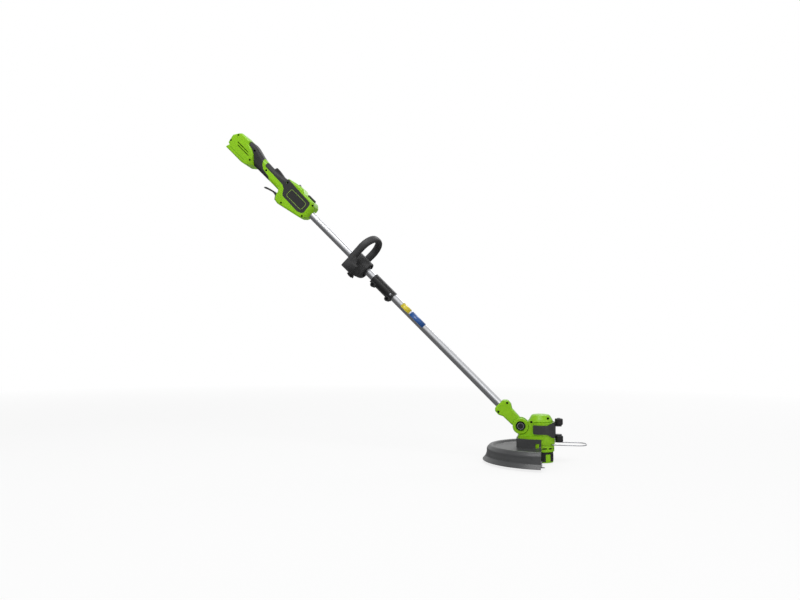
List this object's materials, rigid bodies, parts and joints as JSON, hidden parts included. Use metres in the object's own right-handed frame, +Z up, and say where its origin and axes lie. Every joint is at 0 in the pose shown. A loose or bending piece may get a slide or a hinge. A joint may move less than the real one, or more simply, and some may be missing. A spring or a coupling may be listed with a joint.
{
  "type": "battery string trimmer",
  "caption": "Battery string trimmer: rear grip with trigger and battery slide, two-piece tube with loop handle, tilting motor head with half-round guard, edging rollers and flip-up wire guard.",
  "frame": {"origin": "on the shaft's axis at the middle of the rear grip", "axes": "+X level and forward to the cutting head, +Z up, -Y the side seen in the picture; the shaft falls at 45 degrees in the XZ plane"},
  "size_m": [1.1919, 0.366, 1.0912],
  "materials": {
    "green": "satin moulded plastic",
    "soft_black": "soft-touch overmould",
    "black_plastic": "fine-textured moulded plastic",
    "plate": "bare plate, no print",
    "dark_grey": "satin moulded plastic",
    "aluminium": "satin anodised",
    "steel": "zinc-plated",
    "board": "coated board",
    "brass": "plain",
    "motor_can": "plain; density stands for windings, magnets and air"
  },
  "bodies": {
    "frame": {"housing_right": "green", "housing_left": "green", "rear_pad_right": "soft_black", "rear_pad_left": "soft_black", "grip_inlay_right": "soft_black", "grip_inlay_left": "soft_black", "label_plate_right": "plate", "label_plate_left": "plate", "housing_screws": "steel", "trigger_pin": "steel", "trigger_spring": "steel", "lock_off_pin": "steel", "trigger_switch": "black_plastic", "control_board": "board", "terminal_block": "black_plastic", "contact_blades": "brass", "top_lug": "black_plastic", "lamp_stud": "black_plastic", "upper_tube": "aluminium", "lower_tube": "aluminium", "coupler_sleeve": "black_plastic", "coupler_bolts": "steel", "coupler_nuts": "steel", "neck_right": "green", "neck_left": "green", "neck_screws": "steel", "tilt_pin": "steel", "tilt_ring": "steel", "tilt_button_spring": "steel"},
    "trigger": {"trigger": "black_plastic"},
    "lock_off": {"lock_off_lever": "black_plastic", "lock_off_spring": "steel"},
    "catch": {"coupler_catch": "black_plastic", "catch_spring": "steel"},
    "loop": {"loop_handle": "black_plastic", "handle_clamp": "black_plastic", "clamp_bolt": "steel"},
    "knob": {"clamp_knob": "black_plastic"},
    "tilt_release": {"tilt_button": "black_plastic"},
    "head": {"case_right": "green", "case_left": "green", "head_screws": "steel", "bumper_band": "dark_grey", "roller_axles": "steel", "spool_skirt": "green", "motor": "motor_can", "lower_bearing": "steel", "guard": "dark_grey", "guard_latches": "green", "line_cutter": "steel", "cutter_screws": "steel"},
    "upper_wheel": {"upper_roller": "black_plastic"},
    "lower_wheel": {"lower_roller": "black_plastic"},
    "wire_guard": {"plant_guard": "steel"},
    "spool_head": {"drive_shaft": "steel", "spool_cup": "black_plastic", "line_eyelets": "steel", "spool_cover": "green", "spool_spring": "steel"},
    "reel": {"line_spool": "black_plastic"}
  },
  "joints": [
    {"name": "trigger_pull", "type": "hinge", "parent": "frame", "child": "trigger", "pos_m": [0.03606, 0, -0.08697], "axis": [0, 1, 0], "range_deg": [0, 14], "stiffness_Nm_per_rad": 0.6, "springref_deg": -14.32},
    {"name": "lock_off_press", "type": "hinge", "parent": "frame", "child": "lock_off", "pos_m": [0.04525, 0, -0.02263], "axis": [0, -1, 0], "range_deg": [0, 8], "stiffness_Nm_per_rad": 0.6, "springref_deg": -14.32},
    {"name": "coupler_catch_press", "type": "slide", "parent": "frame", "child": "catch", "axis": [0, 1, 0], "range_m": [0, 0.004], "stiffness_N_per_m": 600, "springref_m": -0.004},
    {"name": "loop_slide", "type": "slide", "parent": "frame", "child": "loop", "axis": [0.7071, 0, -0.7071], "range_m": [-0.2, 0.028]},
    {"name": "clamp_knob_turn", "type": "hinge", "parent": "loop", "child": "knob", "pos_m": [0.28284, 0, -0.35355], "axis": [0.7071, 0, 0.7071], "continuous": true},
    {"name": "tilt_release_press", "type": "slide", "parent": "frame", "child": "tilt_release", "axis": [0, 1, 0], "range_m": [0, 0.004], "stiffness_N_per_m": 600, "springref_m": -0.004},
    {"name": "head_tilt", "type": "hinge", "parent": "frame", "child": "head", "pos_m": [0.83651, 0, -0.83651], "axis": [0, 1, 0], "range_deg": [-30, 30]},
    {"name": "upper_roller_spin", "type": "hinge", "parent": "head", "child": "upper_wheel", "pos_m": [0.95261, 0, -0.82251], "axis": [0, 0, 1], "continuous": true},
    {"name": "lower_roller_spin", "type": "hinge", "parent": "head", "child": "lower_wheel", "pos_m": [0.95261, 0, -0.87451], "axis": [0, 0, 1], "continuous": true},
    {"name": "wire_guard_fold", "type": "hinge", "parent": "head", "child": "wire_guard", "pos_m": [0.93001, 0, -0.88951], "axis": [0, -1, 0], "range_deg": [0, 90]},
    {"name": "spool_spin", "type": "hinge", "parent": "head", "child": "spool_head", "pos_m": [0.90101, 0, -0.92651], "axis": [0, 0, 1], "continuous": true},
    {"name": "reel_turn", "type": "hinge", "parent": "spool_head", "child": "reel", "pos_m": [0.90101, 0, -0.92951], "axis": [0, 0, 1], "continuous": true}
  ]
}
